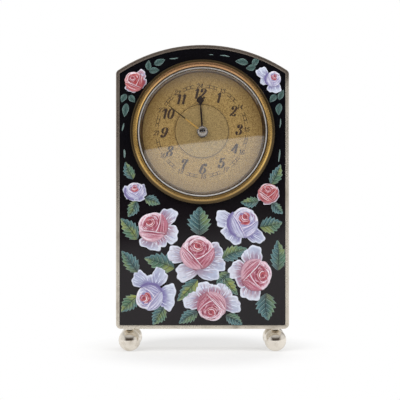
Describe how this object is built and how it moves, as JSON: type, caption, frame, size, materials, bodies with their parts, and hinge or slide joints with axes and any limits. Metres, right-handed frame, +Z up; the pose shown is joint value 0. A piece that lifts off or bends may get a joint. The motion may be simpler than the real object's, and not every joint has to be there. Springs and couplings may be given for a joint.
{
  "type": "pendulette clock",
  "caption": "Small arched table clock with a flowered black enamel front, gilt bezel, ball feet, a hinged rear door and a complete lever movement with turning hands.",
  "frame": {"origin": "under the middle of the clock, on the surface that its feet stand on", "axes": "+X right as seen from the front, +Y from the front to the back, +Z up"},
  "size_m": [0.0436, 0.017, 0.075],
  "materials": {
    "silver": "polished silver with a light patina",
    "enamel": "glossy black enamel painted with roses",
    "gilt": "polished gilt",
    "bright_ring": "bright polished silver",
    "crystal_glass": "clear domed glass",
    "dial_gilt": "grained matt gilt with dark numerals",
    "dial_edge": "dull gilt",
    "plate_brass": "frosted gilding",
    "wheel_brass": "polished brass",
    "steel": "polished steel",
    "blued_steel": "dark blued steel",
    "spring_steel": "tempered spring steel",
    "ruby": "polished ruby"
  },
  "bodies": {
    "case": {"case_band": "silver", "front_frame": "silver", "enamel_plaque": "enamel", "plaque_backing": "plate_brass", "backing_screws": "steel", "movement_drum": "plate_brass", "drum_screws": "steel", "bezel": "gilt", "crystal_ring": "bright_ring", "crystal": "crystal_glass", "dial_ring": "dial_edge", "dial": "dial_gilt", "mainplate": "plate_brass", "case_screws": "steel", "barrel_bridge": "plate_brass", "train_bridge": "plate_brass", "balance_cock": "plate_brass", "pallet_cock": "plate_brass", "bridge_screws": "blued_steel", "jewels": "ruby", "minute_wheel_post": "steel", "click_spring": "steel", "catch_spring": "plate_brass", "door_hinge_pin": "silver", "foot_front_left": "silver", "foot_front_right": "silver", "foot_rear_left": "silver", "foot_rear_right": "silver", "foot_nuts": "wheel_brass"},
    "door": {"rear_door": "silver"},
    "minute_group": {"minute_hand": "blued_steel", "hand_cap": "bright_ring", "cannon_pinion": "steel"},
    "hour_group": {"hour_hand": "blued_steel", "hour_wheel": "wheel_brass"},
    "minute_wheel_body": {"minute_wheel": "wheel_brass"},
    "setting_group": {"setting_arbor": "steel", "setting_knob": "wheel_brass"},
    "centre_group": {"centre_arbor": "steel", "centre_wheel": "wheel_brass"},
    "third_group": {"third_arbor": "steel", "third_wheel": "wheel_brass"},
    "fourth_group": {"fourth_arbor": "steel", "fourth_wheel": "wheel_brass"},
    "escape_group": {"escape_arbor": "steel", "escape_wheel": "steel"},
    "barrel_group": {"barrel": "wheel_brass", "barrel_cover": "wheel_brass", "mainspring": "spring_steel"},
    "winding_group": {"barrel_arbor": "steel", "ratchet_wheel": "steel", "winding_key": "wheel_brass", "key_screw": "blued_steel"},
    "click_body": {"click": "steel"},
    "pallet_body": {"pallet_fork": "steel"},
    "balance_group": {"balance_wheel": "wheel_brass", "balance_staff": "steel", "hairspring": "spring_steel"},
    "regulator_body": {"regulator": "steel"}
  },
  "joints": [
    {"name": "door_hinge", "type": "hinge", "parent": "case", "child": "door", "pos_m": [-0.0211, 0.00756, 0.036], "axis": [0, 0, 1], "range_deg": [0, 110]},
    {"name": "minute_hand_turn", "type": "hinge", "parent": "case", "child": "minute_group", "pos_m": [0, -0.00189, 0.05375], "axis": [0, 1, 0], "continuous": true},
    {"name": "hour_hand_turn", "type": "hinge", "parent": "case", "child": "hour_group", "pos_m": [0, -0.00189, 0.05375], "axis": [0, 1, 0], "continuous": true},
    {"name": "minute_wheel_turn", "type": "hinge", "parent": "case", "child": "minute_wheel_body", "pos_m": [0.00277, -0.00189, 0.05535], "axis": [0, 1, 0], "continuous": true},
    {"name": "setting_knob_turn", "type": "hinge", "parent": "case", "child": "setting_group", "pos_m": [0.00554, -0.00189, 0.05695], "axis": [0, 1, 0], "continuous": true},
    {"name": "fourth_wheel_turn", "type": "hinge", "parent": "case", "child": "fourth_group", "pos_m": [0.00235, -0.00189, 0.04635], "axis": [0, 1, 0], "continuous": true},
    {"name": "third_wheel_turn", "type": "hinge", "parent": "case", "child": "third_group", "pos_m": [0.00387, -0.00189, 0.0505], "axis": [0, 1, 0], "continuous": true},
    {"name": "centre_wheel_turn", "type": "hinge", "parent": "case", "child": "centre_group", "pos_m": [0, -0.00189, 0.05375], "axis": [0, 1, 0], "continuous": true},
    {"name": "barrel_turn", "type": "hinge", "parent": "case", "child": "barrel_group", "pos_m": [-0.00492, -0.00189, 0.05961], "axis": [0, 1, 0], "continuous": true},
    {"name": "escape_wheel_turn", "type": "hinge", "parent": "case", "child": "escape_group", "pos_m": [-0.00183, -0.00189, 0.04561], "axis": [0, 1, 0], "continuous": true},
    {"name": "winding_key_turn", "type": "hinge", "parent": "case", "child": "winding_group", "pos_m": [-0.00492, -0.00189, 0.05961], "axis": [0, 1, 0], "continuous": true, "deforming": ["mainspring"]},
    {"name": "click_lift", "type": "hinge", "parent": "case", "child": "click_body", "pos_m": [-0.00274, -0.00189, 0.06338], "axis": [0, 1, 0], "range_deg": [-12, 0], "stiffness_Nm_per_rad": 0.0000002, "springref_deg": 28.65},
    {"name": "pallet_swing", "type": "hinge", "parent": "case", "child": "pallet_body", "pos_m": [-0.00478, -0.00189, 0.04509], "axis": [0, 1, 0], "range_deg": [-5, 5]},
    {"name": "balance_swing", "type": "hinge", "parent": "case", "child": "balance_group", "pos_m": [-0.00822, -0.00189, 0.04715], "axis": [0, 1, 0], "range_deg": [-270, 270], "stiffness_Nm_per_rad": 0.00000023, "deforming": ["hairspring"]},
    {"name": "regulator_turn", "type": "hinge", "parent": "case", "child": "regulator_body", "pos_m": [-0.00822, -0.00189, 0.04715], "axis": [0, 1, 0], "range_deg": [-20, 20]}
  ],
  "couplings": [
    {"joint": "minute_wheel_turn", "follows": "minute_hand_turn", "ratio": -0.33333},
    {"joint": "hour_hand_turn", "follows": "minute_hand_turn", "ratio": 0.083333},
    {"joint": "setting_knob_turn", "follows": "minute_hand_turn", "ratio": 1},
    {"joint": "third_wheel_turn", "follows": "fourth_wheel_turn", "ratio": -0.13333},
    {"joint": "centre_wheel_turn", "follows": "fourth_wheel_turn", "ratio": 0.016667},
    {"joint": "barrel_turn", "follows": "fourth_wheel_turn", "ratio": -0.0020833},
    {"joint": "escape_wheel_turn", "follows": "fourth_wheel_turn", "ratio": -10}
  ]
}
